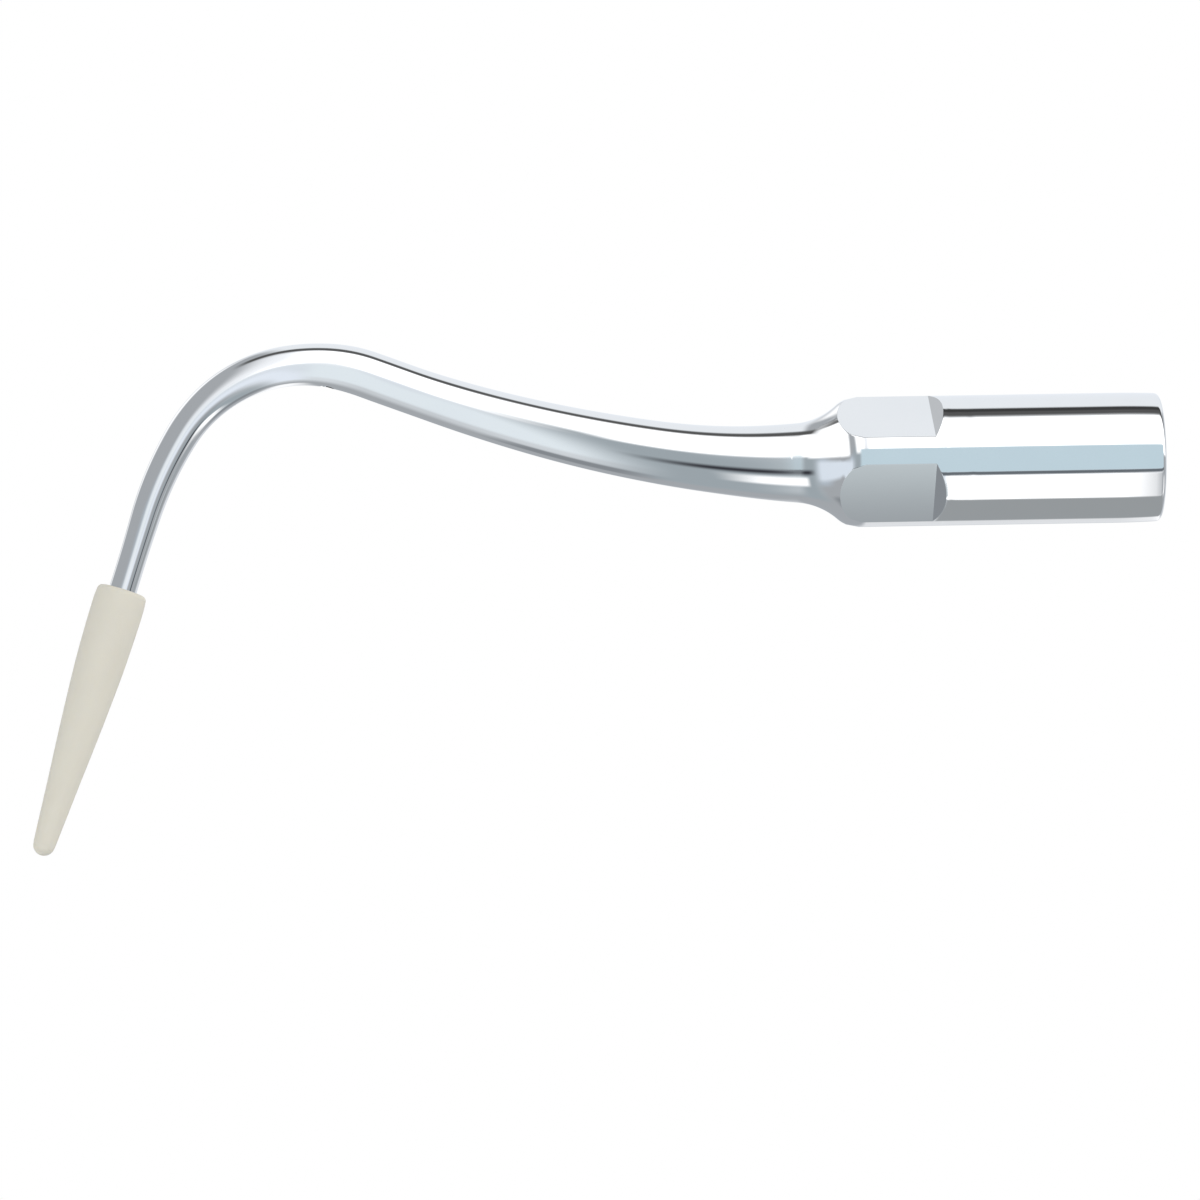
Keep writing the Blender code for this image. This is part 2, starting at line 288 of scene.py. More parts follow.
def outer_radius(distance):
    """Radius of the tip before the wrench flats are cut."""
    if distance < RIM_ROUNDING:
        drop = RIM_ROUNDING - distance
        return outer_radius(RIM_ROUNDING) - RIM_ROUNDING + math.sqrt(RIM_ROUNDING**2 - drop**2)
    if distance < CROWN_REACH:
        return HUB_RADIUS - CROWN_DROP * (1.0 - distance / CROWN_REACH) ** 2
    if distance <= EDGE_START:
        return HUB_RADIUS
    if distance <= MEET[0]:
        return EDGE_HEIGHT + math.sqrt(EDGE_RADIUS**2 - (distance - EDGE_START) ** 2)
    if distance < FLARE_FOOT:
        return HOLLOW[1] - math.sqrt(HOLLOW_RADIUS**2 - (HOLLOW[0] - distance) ** 2)
    return smooth_curve(SHANK_TAPER, distance)


def flat_height(distance):
    """Height of the flat, or of its 45 degree run-out, above the hub's axis."""
    return FLAT_HEIGHT + max(0.0, FLATS_START - distance)


def half_flat(distance):
    """Half the angle, in radians, that a flat takes up on the section at a distance."""
    return math.acos(min(1.0, flat_height(distance) / outer_radius(distance)))


def ring_places():
    """Distances of the rings behind the mouth, closer together on its rim and where flats begin and end."""
    full = math.acos(FLAT_HEIGHT / HUB_RADIUS)
    share = [i / FLAT_END_STEPS for i in range(1, FLAT_END_STEPS + 1)]
    run_out = [FLATS_START + FLAT_HEIGHT - HUB_RADIUS * math.cos(full * s) for s in share]
    far_end = [flare_place(FLAT_HEIGHT / math.cos(full * (1.0 - s))) for s in share]
    rim_turns = [math.radians(90.0 * i / RIM_STEPS) for i in range(1, RIM_STEPS + 1)]
    rim = [RIM_ROUNDING * (1.0 - math.cos(turn)) for turn in rim_turns]
    places = rim + evenly(RIM_ROUNDING, CROWN_REACH, RING_SPACING)[1:]
    places += evenly(CROWN_REACH, RUN_OUT_TOP, RING_SPACING)[1:] + run_out
    places += evenly(FLATS_START, EDGE_START, RING_SPACING)[1:]
    places += far_end
    places += evenly(far_end[-1], FLARE_FOOT, FLARE_SPACING)[1:]
    places += evenly(FLARE_FOOT, SHANK_TAPER[-1][0], RING_SPACING)[1:]
    return places


def quarter_columns(distance):
    """(angle from the flat's middle, whether it lies on the flat) of the points on a quarter of a section."""
    quarter = math.radians(45.0)
    columns = FLAT_COLUMNS + 2
    even = quarter * columns / (columns + SIDE_COLUMNS)
    half = half_flat(distance)
    cut = half > 0.0
    if not cut:
        before = distance < RUN_OUT_TOP
        away = RUN_OUT_TOP - distance if before else distance - flare_place(FLAT_HEIGHT)
        ease = min(1.0, max(0.0, away / COLUMN_EASE))
        half = even * max(LEAST_EASE, ease)
    inner = max(half - EDGE_ROUNDING / HUB_RADIUS, INNER_COLUMN_SHARE * half)
    outer = half + (half - inner)
    rest = max(inner - 2.0 * (half - inner), LAST_COLUMN_SHARE * inner)
    side = [(rest * i / FLAT_COLUMNS, cut) for i in range(FLAT_COLUMNS + 1)] + [(inner, cut)]
    side += [(outer + (quarter - outer) * i / SIDE_COLUMNS, False) for i in range(SIDE_COLUMNS + 1)]
    return [(-angle, flat) for angle, flat in reversed(side[1:])] + side[:-1]


def section(distance):
    """(angle, radius) pairs round the tip at a distance."""
    points = []
    columns = quarter_columns(distance)
    for quarter in range(4):
        middle = math.radians(FLATS_TURN + 90.0 * quarter)
        for angle, flat in columns:
            radius = outer_radius(distance)
            if flat:
                radius = flat_height(distance) / math.cos(angle)
            points.append((middle + angle, radius))
    return points


def spigot_outline():
    """Outside of the spigot, from the shoulder to its chamfered end, as (distance, radius) pairs."""
    shoulder = COLLAR + SHOULDER_DEPTH
    soft = SPIGOT_SOFTENING
    outline = [
        (shoulder - soft, SHANK_TAPER[-1][1]),
        (shoulder, SHANK_TAPER[-1][1] - soft),
        (shoulder, SPIGOT_RADIUS + soft),
        (shoulder + soft, SPIGOT_RADIUS),
    ]
    for index in range(GRIP_GROOVES):
        start = COLLAR + FIRST_GROOVE + index * GROOVE_PITCH
        middle = start + GROOVE_WIDTH / 2
        outline.append((start - soft, SPIGOT_RADIUS))
        outline += [
            (middle - GROOVE_WIDTH / 2 * math.cos(a), SPIGOT_RADIUS - GROOVE_DEPTH * math.sin(a))
            for a in (math.pi * step / GROOVE_STEPS for step in range(GROOVE_STEPS + 1))
        ]
        outline.append((start + GROOVE_WIDTH + soft, SPIGOT_RADIUS))
    end = COLLAR + SPIGOT_REACH
    return outline + [
        (end - SPIGOT_CHAMFER - soft, SPIGOT_RADIUS),
        (end - SPIGOT_CHAMFER + soft, SPIGOT_RADIUS - soft),
        (end - soft, SPIGOT_RADIUS - SPIGOT_CHAMFER + soft),
        (end, SPIGOT_RADIUS - SPIGOT_CHAMFER - soft),
        (end, 0.5 * SPIGOT_RADIUS),
    ]


def socket_rings(angles):
    """Rings of radii down the tapped socket, from the mouth to the drill's point: (distance, radii) pairs."""
    rings = []
    mouth = THREAD_MINOR_RADIUS + SOCKET_CHAMFER
    for share in CHAMFER_SHARES:
        rings.append((SOCKET_CHAMFER * share, [mouth - SOCKET_CHAMFER * share] * len(angles)))
    for place in evenly(SOCKET_CHAMFER, DRILL_DEPTH, THREAD_PITCH / ROWS_PER_PITCH):
        start = min(1.0, (place - SOCKET_CHAMFER) / THREAD_PITCH + THREAD_START_SHARE)
        end = min(1.0, max(0.0, (THREAD_END - place) / THREAD_FADE))
        radii = []
        for angle in angles:
            turn = (place / THREAD_PITCH - angle / (2 * math.pi)) % 1.0
            rise = (1.0 + 2.0 * THREAD_CLIP) * (1.0 - abs(2.0 * turn - 1.0)) - THREAD_CLIP
            wave = min(1.0, max(0.0, rise))
            radii.append(THREAD_MINOR_RADIUS + THREAD_DEPTH * wave * start * end)
        rings.append((place, radii))
    slope = math.tan(DRILL_POINT_ANGLE / 2)
    for share in POINT_SHARES:
        radius = THREAD_MINOR_RADIUS * (1.0 - share)
        rings.append((DRILL_DEPTH + (THREAD_MINOR_RADIUS - radius) / slope, [radius] * len(angles)))
    return rings


# ---------------------------------------------------------------- meshes


def add_ring(build, distance, points):
    """Vertices of one section, at (angle, radius) pairs round the centreline."""
    point, forward = centreline(distance)
    across = Vector((0.0, 1.0, 0.0))
    up = forward.cross(across)
    return [build.verts.new(point + r * (math.cos(a) * across + math.sin(a) * up)) for a, r in points]


def bridge(build, first, second, slot=0):
    """Quads between two rings of the same number of vertices."""
    for index in range(len(first)):
        after = (index + 1) % len(first)
        face = build.faces.new((first[index], first[after], second[after], second[index]))
        face.material_index = slot


def cap(build, ring, point, slot=0):
    """Triangles from a ring to a point."""
    top = build.verts.new(point)
    for index in range(len(ring)):
        face = build.faces.new((ring[index], ring[(index + 1) % len(ring)], top))
        face.material_index = slot


def to_object(name, build, finishes, closed=True):
    """Object of a built mesh: a closed body's faces are turned outwards, other faces keep their side."""
    mesh = bpy.data.meshes.new(name)
    if closed:
        bmesh.ops.recalc_face_normals(build, faces=build.faces)
    build.to_mesh(mesh)
    build.free()
    for material in finishes:
        mesh.materials.append(material)
    made = bpy.data.objects.new(name, mesh)
    bpy.context.scene.collection.objects.link(made)
    return made


def tube(name, outline, sides):
    """Closed round body along the centreline, used as a cutter."""
    build = bmesh.new()
    angles = [2 * math.pi * i / sides for i in range(sides)]
    rings = [add_ring(build, distance, [(a, radius) for a in angles]) for distance, radius in outline]
    for first, second in zip(rings, rings[1:]):
        bridge(build, first, second)
    build.faces.new(rings[0])
    build.faces.new(rings[-1])
    return to_object(name, build, ())


def outlet_drill():
    """Cutter of the water outlet, which leaves the inner side of the bend and leans towards the sleeve."""
    point, forward = centreline(CHANNEL_END - OUTLET_SETBACK)
    down = forward.cross(Vector((0.0, 1.0, 0.0)))
    if down.z > 0.0:
        down.negate()
    way = math.cos(OUTLET_LEAN) * down + math.sin(OUTLET_LEAN) * forward
    build = bmesh.new()
    bmesh.ops.create_cone(
        build,
        cap_ends=True,
        segments=OUTLET_SIDES,
        radius1=OUTLET_RADIUS,
        radius2=OUTLET_RADIUS,
        depth=OUTLET_REACH,
    )
    drill = to_object("outlet_drill", build, ())
    drill.location = point + way * (OUTLET_REACH / 2)
    drill.rotation_mode = "QUATERNION"
    drill.rotation_quaternion = way.to_track_quat("Z", "Y")
    return drill


def tip_mesh(finishes):
    """The steel tip as one closed body, with its socket, before the water channel is drilled."""
    build = bmesh.new()
    places = ring_places()
    mouth_radius = outer_radius(RIM_ROUNDING) - RIM_ROUNDING
    mouth_angles = [a for a, _ in section(0.0)]
    mouth = add_ring(build, 0.0, [(a, mouth_radius) for a in mouth_angles])
    rings = [mouth]
    for place in places:
        rings.append(add_ring(build, place, section(place)))
    angles = [a for a, _ in section(places[-1])]
    for distance, radius in spigot_outline():
        rings.append(add_ring(build, distance, [(a, radius) for a in angles]))
    for first, second in zip(rings, rings[1:]):
        bridge(build, first, second)
    cap(build, rings[-1], centreline(COLLAR + SPIGOT_REACH)[0])
    inner = [mouth]
    for distance, radii in socket_rings(mouth_angles):
        inner.append(add_ring(build, distance, zip(mouth_angles, radii)))
    bridge(build, inner[0], inner[1])
    for first, second in zip(inner[1:], inner[2:]):
        bridge(build, first, second, 1)
    point = DRILL_DEPTH + THREAD_MINOR_RADIUS / math.tan(DRILL_POINT_ANGLE / 2)
    cap(build, inner[-1], centreline(point)[0], 1)
    return to_object("steel_tip", build, finishes)


def bore(body, cutters):
    """Cuts the cutters out of a body and keeps the result as its mesh."""
    for cutter in cutters:
        boolean = body.modifiers.new(cutter.name, "BOOLEAN")
        boolean.object = cutter
        boolean.solver = "EXACT"
    bpy.context.view_layer.update()
    done = bpy.data.meshes.new_from_object(body.evaluated_get(bpy.context.evaluated_depsgraph_get()))
    body.modifiers.clear()
    body.data = done
    for cutter in cutters:
        bpy.data.objects.remove(cutter, do_unlink=True)


def smooth(body, sharp_angle):
    body.data.shade_smooth()
    body.data.set_sharp_from_angle(angle=math.radians(sharp_angle))


def steel_tip(polished, machined):
    body = tip_mesh((polished, machined))
    channel = tube(
        "channel_drill",
        [(place, CHANNEL_RADIUS) for place in evenly(DRILL_DEPTH, CHANNEL_END, CHANNEL_SPACING)],
        CHANNEL_SIDES,
    )
    bore(body, (channel, outlet_drill()))
    smooth(body, STEEL_SHARP_ANGLE)
    return body


def sleeve_outline():
    """The sleeve's outside from its collar to its nose, then back up its blind, stepped bore."""
    bore_radius = SPIGOT_RADIUS + BORE_CLEARANCE
    counterbore = SHANK_TAPER[-1][1] + BORE_CLEARANCE
    counterbore_depth = SHOULDER_DEPTH + BORE_CLEARANCE
    depth = SPIGOT_REACH + BORE_END_ROOM
    collar = (COLLAR_ROUNDING, SLEEVE_OUTSIDE[0][1] - COLLAR_ROUNDING)
    outside = arc(collar, COLLAR_ROUNDING, *COLLAR_ARC, COLLAR_STEPS)
    first, last = SLEEVE_OUTSIDE[0][0], SLEEVE_OUTSIDE[-1][0]
    places = evenly(first, last, SLEEVE_SPACING)
    outside += [(place, smooth_curve(SLEEVE_OUTSIDE, place)) for place in places]
    nose = (SLEEVE_LENGTH - NOSE_ROUNDING, 0.0)
    outside += arc(nose, NOSE_ROUNDING, *NOSE_ARC, NOSE_STEPS)
    inside = [
        (depth + BORE_POINT[0] * bore_radius, BORE_POINT[1] * bore_radius),
        (depth, bore_radius),
        (0.5 * depth, bore_radius),
        (counterbore_depth + BORE_LIP, bore_radius),
        (counterbore_depth, bore_radius + BORE_LIP),
        (counterbore_depth, counterbore),
        (BORE_LIP, counterbore),
        (0.0, counterbore + BORE_LIP),
    ]
    return outside, inside


def plastic_sleeve(peek):
    """The sleeve as one closed body turned about the rod's axis."""
    build = bmesh.new()
    angles = [2 * math.pi * i / SLEEVE_SIDES for i in range(SLEEVE_SIDES)]
    point, forward = centreline(COLLAR)
    outside, inside = sleeve_outline()

    def rings(outline):
        return [add_ring(build, COLLAR + place, [(a, r) for a in angles]) for place, r in outline]

    outer, inner = rings(outside), rings(inside)
    for first, second in list(zip(outer, outer[1:])) + list(zip(inner, inner[1:])):
        bridge(build, first, second)
    bridge(build, inner[-1], outer[0])
    cap(build, outer[-1], point + SLEEVE_LENGTH * forward)
    cap(build, inner[0], point + (inside[0][0] + BORE_POINT_RISE) * forward)
    sleeve = to_object("plastic_sleeve", build, (peek,))
    smooth(sleeve, SLEEVE_SHARP_ANGLE)
    return sleeve


# ---------------------------------------------------------------- finishes

# Noise scales in grains per metre, stretches, and the two colours that each noise mixes
CLOUD_SCALE = 450.0
HAIRLINE_SCALE = 9000.0
HAIRLINE_STRETCH = (0.06, 1.0, 1.0)
STEEL_TONES = ((0.83, 0.84, 0.855, 1.0), (0.87, 0.875, 0.885, 1.0))
TOOL_MARK_SCALE = 12000.0
TOOL_MARK_STRETCH = (1.0, 0.1, 0.1)
MACHINED_TONES = ((0.50, 0.51, 0.52, 1.0), (0.62, 0.63, 0.64, 1.0))
MOTTLE_SCALE = 700.0
PLASTIC_GRAIN_SCALE = 14000.0
PEEK_TONES = ((0.675, 0.64, 0.55, 1.0), (0.725, 0.69, 0.595, 1.0))
FLOOR_GRAIN_SCALE = 400.0
FLOOR_TONES = ((0.86, 0.86, 0.86, 1.0), (0.88, 0.88, 0.88, 1.0))
# Roughness from noise: (noise from and to, roughness from and to)
STEEL_ROUGHNESS = (0.7, 1.4, 0.025, 0.06)
MACHINED_ROUGHNESS = (0.2, 0.8, 0.28, 0.42)
PEEK_ROUGHNESS = (0.25, 0.75, 0.48, 0.62)
# Bumps: (strength, height)
HAIRLINE_BUMP = (0.05, 0.002 * MM)
TOOL_MARK_BUMP = (0.3, 0.004 * MM)
PLASTIC_BUMP = (0.35, 0.012 * MM)
MOTTLE_BUMP_SHARE = 0.6


class Nodes:
    """A node tree with short calls for adding and joining nodes."""

    def __init__(self, tree):
        self.tree = tree

    def add(self, kind, settings=None, **inputs):
        node = self.tree.nodes.new(kind)
        for name, value in (settings or {}).items():
            setattr(node, name, value)
        for name, value in inputs.items():
            key = int(name[1:]) if name[0] == "_" else name.replace("_", " ")
            self.feed(node.inputs[key], value)
        return node

    def feed(self, socket, value):
        if isinstance(value, bpy.types.NodeSocket):
            self.tree.links.new(value, socket)
        else:
            socket.default_value = value

    def maths(self, operation, *values):
        node = self.add("ShaderNodeMath", {"operation": operation})
        for socket, value in zip(node.inputs, values):
            self.feed(socket, value)
        return node.outputs[0]

    def ramp(self, value, start, end, low=0.0, high=1.0):
        settings = {"interpolation_type": "SMOOTHSTEP"}
        node = self.add("ShaderNodeMapRange", settings, _0=value, _1=start, _2=end, _3=low, _4=high)
        return node.outputs[0]

    def mix(self, share, first, second):
        return self.add("ShaderNodeMix", {"data_type": "RGBA"}, _0=share, _6=first, _7=second).outputs[2]


def finish(name, **inputs):
    """A material whose Principled shader has these constant values, and its nodes."""
    made = bpy.data.materials.new(name)
    made.use_nodes = True
    shader = made.node_tree.nodes["Principled BSDF"]
    for key, value in inputs.items():
        shader.inputs[key.replace("_", " ")].default_value = value
    return made, Nodes(made.node_tree), shader


def noise(nodes, place, scale, detail, stretch=(1.0, 1.0, 1.0)):
    """Noise of about one grain per 1/scale metres, drawn out by dividing its frequency along an axis."""
    mapped = nodes.add("ShaderNodeMapping", _0=place, Scale=stretch).outputs[0]
    return nodes.add("ShaderNodeTexNoise", Vector=mapped, Scale=scale, Detail=detail).outputs[0]


def bump(nodes, shader, height, strength, distance):
    node = nodes.add("ShaderNodeBump", Height=height, Strength=strength, Distance=distance)
    nodes.feed(shader.inputs["Normal"], node.outputs[0])


def polished_steel():
    """Buffed stainless steel: even gloss with faint clouding, and hairlines along the X axis."""
    made, nodes, shader = finish("polished_stainless", Metallic=1.0, Specular_Tint=(0.97, 0.98, 1.0, 1.0))
    place = nodes.add("ShaderNodeTexCoord").outputs["Object"]
    clouds = noise(nodes, place, CLOUD_SCALE, 3.0)
    hairlines = noise(nodes, place, HAIRLINE_SCALE, 2.0, HAIRLINE_STRETCH)
    nodes.feed(shader.inputs["Base Color"], nodes.mix(clouds, *STEEL_TONES))
    rough = nodes.ramp(nodes.maths("ADD", clouds, hairlines), *STEEL_ROUGHNESS)
    nodes.feed(shader.inputs["Roughness"], rough)
    bump(nodes, shader, hairlines, *HAIRLINE_BUMP)
    return made


def machined_steel():
    """Tapped and drilled steel of the socket: duller than the outside, with tool marks round the axis."""
    made, nodes, shader = finish("machined_stainless", Metallic=1.0)
    place = nodes.add("ShaderNodeTexCoord").outputs["Object"]
    marks = noise(nodes, place, TOOL_MARK_SCALE, 2.0, TOOL_MARK_STRETCH)
    nodes.feed(shader.inputs["Base Color"], nodes.mix(marks, *MACHINED_TONES))
    nodes.feed(shader.inputs["Roughness"], nodes.ramp(marks, *MACHINED_ROUGHNESS))
    bump(nodes, shader, marks, *TOOL_MARK_BUMP)
    return made


def peek_plastic():
    """Ivory PEEK: matte moulded grain, faintly mottled, with a little light passing below the surface."""
    made, nodes, shader = finish(
        "ivory_peek",
        Metallic=0.0,
        IOR=1.5,
        Subsurface_Weight=0.15,
        Subsurface_Radius=(1.0, 0.8, 0.5),
        Subsurface_Scale=0.3 * MM,
    )
    place = nodes.add("ShaderNodeTexCoord").outputs["Object"]
    mottle = noise(nodes, place, MOTTLE_SCALE, 4.0)
    grain = noise(nodes, place, PLASTIC_GRAIN_SCALE, 3.0)
    nodes.feed(shader.inputs["Base Color"], nodes.mix(mottle, *PEEK_TONES))
    nodes.feed(shader.inputs["Roughness"], nodes.ramp(grain, *PEEK_ROUGHNESS))
    height = nodes.maths("ADD", grain, nodes.maths("MULTIPLY", mottle, MOTTLE_BUMP_SHARE))
    bump(nodes, shader, height, *PLASTIC_BUMP)
    return made


# ---------------------------------------------------------------- studio

ROOM = (0.42, 0.44, 0.46)
# Distant panels: (angle origin, round from and to, along from and to, softness, colour)
PANELS = (
    ("front", (-70.0, 12.0), (-46.0, -2.0), 9.0, (0.50, 0.56, 0.62)),
    ("front", (-56.0, 2.0), (-110.0, -22.0), 9.0, (0.80, 0.87, 0.95)),
    ("front", (-102.0, -40.0), (-19.0, 26.0), 16.0, (0.76, 0.80, 0.83)),
    ("front", (-74.0, 10.0), (-19.0, 8.0), 9.0, (0.86, 0.93, 0.97)),
    ("front", (-90.0, 10.0), (6.0, 22.0), 6.5, (0.88, 0.94, 1.02)),
    ("back", (-5.0, 79.0), (-4.0, 45.0), 5.0, (0.92, 0.95, 0.98)),
    ("back", (-32.0, 30.0), (25.0, 82.0), 12.0, (0.80, 0.82, 0.85)),
    ("back", (-58.0, -10.0), (7.0, 20.0), 5.0, (1.15, 1.15, 1.15)),
    ("back", (12.0, 45.0), (-36.0, -8.0), 8.0, (1.20, 1.20, 1.20)),
    ("front", (-93.0, -47.0), (34.0, 56.0), 6.0, (1.25, 1.25, 1.25)),
    ("front", (-41.0, -23.0), (32.0, 48.0), 6.0, (0.22, 0.24, 0.26)),
    ("front", (6.0, 80.0), (-12.0, 95.0), 12.0, (1.05, 1.07, 1.10)),
    ("front", (6.0, 81.0), (3.0, 95.0), 5.0, (1.70, 1.70, 1.70)),
    ("front", (82.0, 101.0), (-18.0, 60.0), 5.0, (0.10, 0.10, 0.10)),
)


def studio_world():
    """A grey room with soft panels; the camera itself sees plain white behind the tip."""
    world = bpy.data.worlds.new("studio")
    world.use_nodes = True
    bpy.context.scene.world = world
    nodes = Nodes(world.node_tree)
    world.node_tree.nodes.clear()
    way = nodes.add("ShaderNodeTexCoord").outputs["Generated"]
    x, y, z = nodes.add("ShaderNodeSeparateXYZ", _0=way).outputs
    along = nodes.maths("MULTIPLY", nodes.maths("ARCSINE", x), DEGREES_PER_RADIAN)
    towards_camera = nodes.maths("MULTIPLY", y, -1.0)
    angles = {"front": nodes.maths("ARCTAN2", z, towards_camera), "back": nodes.maths("ARCTAN2", z, y)}
    angles = {side: nodes.maths("MULTIPLY", turn, DEGREES_PER_RADIAN) for side, turn in angles.items()}
    colour = (*ROOM, 1.0)
    for origin, round_range, along_range, soft, tint in PANELS:
        share = 1.0
        for angle, (start, end) in ((angles[origin], round_range), (along, along_range)):
            share = nodes.maths("MULTIPLY", share, nodes.ramp(angle, start - soft, start + soft))
            share = nodes.maths("MULTIPLY", share, nodes.ramp(angle, end - soft, end + soft, 1.0, 0.0))
        colour = nodes.mix(share, colour, (*tint, 1.0))
    room = nodes.add("ShaderNodeBackground", Color=colour, Strength=1.0)
    backdrop = nodes.add("ShaderNodeBackground", Color=(1.0, 1.0, 1.0, 1.0), Strength=1.0)
    seen = nodes.add("ShaderNodeLightPath").outputs["Is Camera Ray"]
    both = nodes.add("ShaderNodeMixShader", _0=seen, _1=room.outputs[0], _2=backdrop.outputs[0])
    nodes.add("ShaderNodeOutputWorld", Surface=both.outputs[0])


# Small curved cards hung round the hub, the flare and the near end of the shank, to place the bands that the
# camera sees in the steel: (name, distance from the axis in mm, round from and to, along X in mm from and to,
# softness in degrees and in mm, colour)
CARDS = (
    ("blue_card", 12.0, (-20.5, 19.0), (-14.5, 8.0), (1.2, 0.8), (0.60, 0.74, 0.81)),
    ("dark_card", 12.0, (-26.5, -20.5), (-14.5, 8.0), (1.2, 0.8), (0.15, 0.17, 0.19)),
    ("black_card", 12.0, (85.0, 92.4), (-12.5, 8.0), (2.0, 0.5), (0.05, 0.05, 0.05)),
    ("mouth_card", 11.8, (-70.0, -26.5), (1.3, 9.0), (3.0, 2.6), (0.46, 0.48, 0.50)),
    ("white_card", 12.0, (-69.5, -26.5), (-7.42, 8.0), (2.0, 0.12), (1.5, 1.5, 1.5)),
    ("grey_card", 12.5, (-128.0, -66.0), (-7.42, 8.0), (3.0, 0.12), (0.35, 0.37, 0.38)),
    ("flat_card_upper", 12.0, (-66.0, -40.0), (-13.0, -7.42), (8.0, 0.12), (0.60, 0.66, 0.68)),
    ("flat_card_lower", 12.5, (-112.0, -40.0), (-13.0, -7.42), (3.0, 0.12), (0.38, 0.41, 0.43)),
    ("run_out_card", 12.0, (-126.0, -97.0), (-28.0, -21.0), (6.0, 1.5), (0.27, 0.29, 0.31)),
    ("shank_key_card", 19.5, (14.0, 82.0), (-19.5, -13.6), (5.0, 1.5), (1.5, 1.5, 1.5)),
    ("shank_white_card", 19.0, (-70.0, -44.0), (-17.4, -13.6), (6.0, 1.2), (1.3, 1.3, 1.3)),
    ("shank_dark_card", 20.0, (-36.0, -23.0), (-20.2, -14.2), (6.0, 2.4), (0.04, 0.04, 0.05)),
    ("shank_grey_card", 21.0, (-114.0, 24.0), (-23.4, -14.0), (9.0, 3.6), (0.38, 0.43, 0.46)),
)

# Width of a card's faces, in degrees round the axis
CARD_STEP = 3.0

# Sectors of a ring round the foot of the flare, for the bands on the flare; each lies a step towards +X of
# the one before it.  RING_FADE is the distance from the axis at which the glow fades out, and how softly.
# Sectors: (name, round from and to, softness, colour)
RING_PLACE = -14.5 * MM
RING_STEP = 0.02 * MM
RING_RADII = (1.56 * MM, 5.2 * MM)
RING_FADE = (4.3 * MM, 0.8 * MM)
RING_CARDS = (
    ("ring_light", (90.0, 184.0), 2.0, (0.86, 0.89, 0.92)),
    ("ring_white", (8.0, 92.0), 4.0, (1.5, 1.5, 1.5)),
    ("ring_black", (80.0, 98.0), 3.0, (0.03, 0.03, 0.03)),
)


def card_light(name, tint, round_range, round_soft, axis, axis_range, axis_soft):
    """One-sided glow that fades out round the X axis, and along it (axis "x") or away from it (axis "r")."""
    made = bpy.data.materials.new(name)
    made.use_nodes = True
    made.node_tree.nodes.clear()
    nodes = Nodes(made.node_tree)
    place = nodes.add("ShaderNodeTexCoord").outputs["Object"]
    x, y, z = nodes.add("ShaderNodeSeparateXYZ", _0=place).outputs
    towards_camera = nodes.maths("MULTIPLY", y, -1.0)
    turn = nodes.maths("MULTIPLY", nodes.maths("ARCTAN2", z, towards_camera), DEGREES_PER_RADIAN)
    squares = nodes.maths("ADD", nodes.maths("POWER", y, 2.0), nodes.maths("POWER", z, 2.0))
    away = nodes.maths("SQRT", squares)
    along = {"x": x, "r": away}[axis]
    share = nodes.maths("SUBTRACT", 1.0, nodes.add("ShaderNodeNewGeometry").outputs["Backfacing"])
    for value, (start, end), fade in ((turn, round_range, round_soft), (along, axis_range, axis_soft)):
        share = nodes.maths("MULTIPLY", share, nodes.ramp(value, start - fade, start + fade))
        share = nodes.maths("MULTIPLY", share, nodes.ramp(value, end - fade, end + fade, 1.0, 0.0))
    glow = nodes.add("ShaderNodeEmission", Color=(*tint, 1.0), Strength=1.0)
    clear = nodes.add("ShaderNodeBsdfTransparent")
    both = nodes.add("ShaderNodeMixShader", _0=share, _1=clear.outputs[0], _2=glow.outputs[0])
    nodes.add("ShaderNodeOutputMaterial", Surface=both.outputs[0])
    return made


def hang_card(name, round_range, ends, glow):
    """A card curved round the hub's axis, between two (place, distance from the axis) ends."""
    build = bmesh.new()
    columns = []
    for angle in evenly(*round_range, CARD_STEP):
        turn = math.radians(angle)
        columns.append([build.verts.new((x, -r * math.cos(turn), r * math.sin(turn))) for x, r in ends])
    for first, second in zip(columns, columns[1:]):
        build.faces.new((first[0], second[0], second[1], first[1]))
    card = to_object(name, build, (glow,), False)
    card.visible_camera = False
    card.visible_shadow = False
    card.visible_diffuse = False


def hang_cards():
    for name, radius, (low, high), (left, right), soft, tint in CARDS:
        start, end, fade = left * MM, right * MM, soft[1] * MM
        glow = card_light(name, tint, (low, high), soft[0], "x", (start, end), fade)
        ends = ((start - fade, radius * MM), (end + fade, radius * MM))
        hang_card(name, (low - soft[0], high + soft[0]), ends, glow)
    for index, (name, (low, high), soft, tint) in enumerate(RING_CARDS):
        reach, fade = RING_FADE
        glow = card_light(name, tint, (low, high), soft, "r", (-fade, reach), fade)
        place = RING_PLACE + index * RING_STEP
        hang_card(name, (low - soft, high + soft), [(place, radius) for radius in RING_RADII], glow)


# Side light on the sleeve
SOFTBOX_PLACE = (-0.25, -0.07, 0.0)
SOFTBOX_AIM = (-0.04, 0.0, 0.0)
SOFTBOX_SIZE = 0.2
SOFTBOX_ENERGY = 0.19


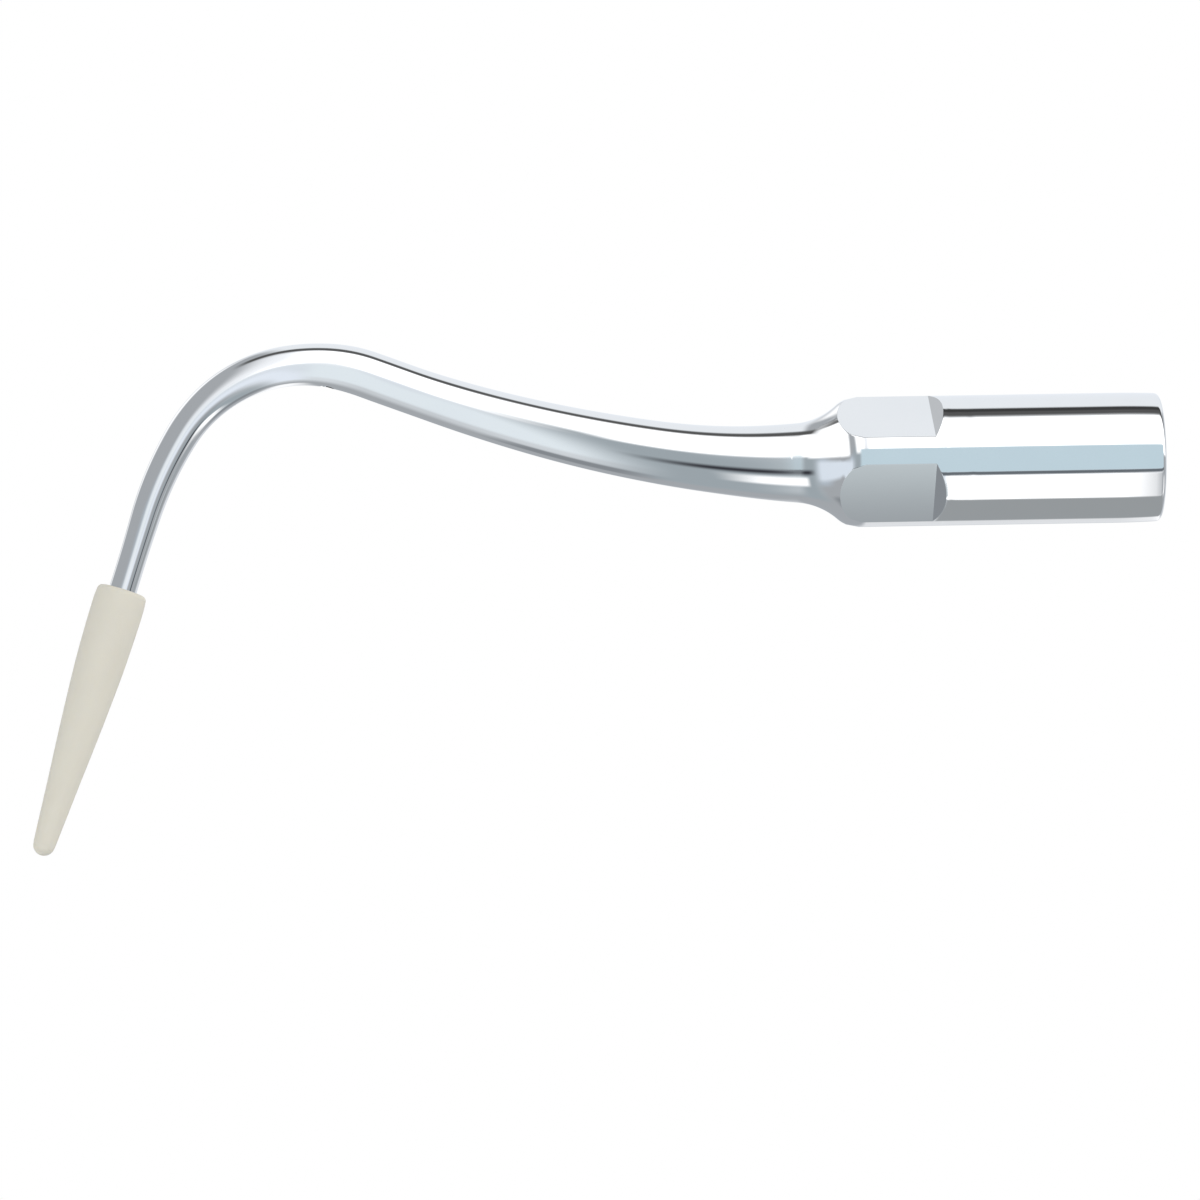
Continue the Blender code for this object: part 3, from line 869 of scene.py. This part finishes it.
def hang_light():
    """Soft light on the matte sleeve from the front left; the polished steel does not mirror it."""
    lamp = bpy.data.lights.new("side_softbox", "AREA")
    lamp.energy = SOFTBOX_ENERGY
    lamp.size = SOFTBOX_SIZE
    light = bpy.data.objects.new("side_softbox", lamp)
    light.location = SOFTBOX_PLACE
    backwards = Vector(SOFTBOX_PLACE) - Vector(SOFTBOX_AIM)
    light.rotation_euler = backwards.to_track_quat("Z", "Y").to_euler()
    light.visible_glossy = False
    bpy.context.scene.collection.objects.link(light)


def lay_floor(lowest):
    """Pale floor well below the tip; the polished steel mirrors the room instead of it."""
    build = bmesh.new()
    bmesh.ops.create_grid(build, x_segments=1, y_segments=1, size=FLOOR_SIZE)
    made, nodes, shader = finish("pale_floor", Roughness=0.7)
    place = nodes.add("ShaderNodeTexCoord").outputs["Object"]
    grain = noise(nodes, place, FLOOR_GRAIN_SCALE, 3.0)
    nodes.feed(shader.inputs["Base Color"], nodes.mix(grain, *FLOOR_TONES))
    floor = to_object("floor", build, (made,))
    floor.location.z = lowest - FLOOR_DROP
    floor.visible_glossy = False


def hang_camera():
    azimuth, elevation, roll = CAMERA_AZIMUTH, CAMERA_ELEVATION, CAMERA_ROLL
    towards = Vector(
        (
            math.sin(azimuth) * math.cos(elevation),
            -math.cos(azimuth) * math.cos(elevation),
            math.sin(elevation),
        )
    )
    right = Vector((math.cos(azimuth), math.sin(azimuth), 0.0))
    up = towards.cross(right)
    tilted_right = math.cos(roll) * right - math.sin(roll) * up
    tilted_up = math.sin(roll) * right + math.cos(roll) * up
    lens = bpy.data.cameras.new("camera")
    lens.type = "ORTHO"
    lens.ortho_scale = FRAME_WIDTH
    lens.clip_start = 1.0 * MM
    camera = bpy.data.objects.new("camera", lens)
    bpy.context.scene.collection.objects.link(camera)
    place = FRAME_CENTRE[0] * tilted_right + FRAME_CENTRE[1] * tilted_up + CAMERA_DISTANCE * towards
    turn = Matrix((tilted_right, tilted_up, towards)).transposed()
    camera.matrix_world = Matrix.Translation(place) @ turn.to_4x4()
    bpy.context.scene.camera = camera


hang_camera()
studio_world()
hang_cards()
hang_light()
lay_floor(cad_box[0][2])
bpy.context.scene.view_settings.view_transform = "Standard"

tip = steel_tip(polished_steel(), machined_steel())
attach(tip, "tip")
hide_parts("tip_body")

sleeve = plastic_sleeve(peek_plastic())
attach(sleeve, "sleeve")
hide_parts("peek_sleeve")
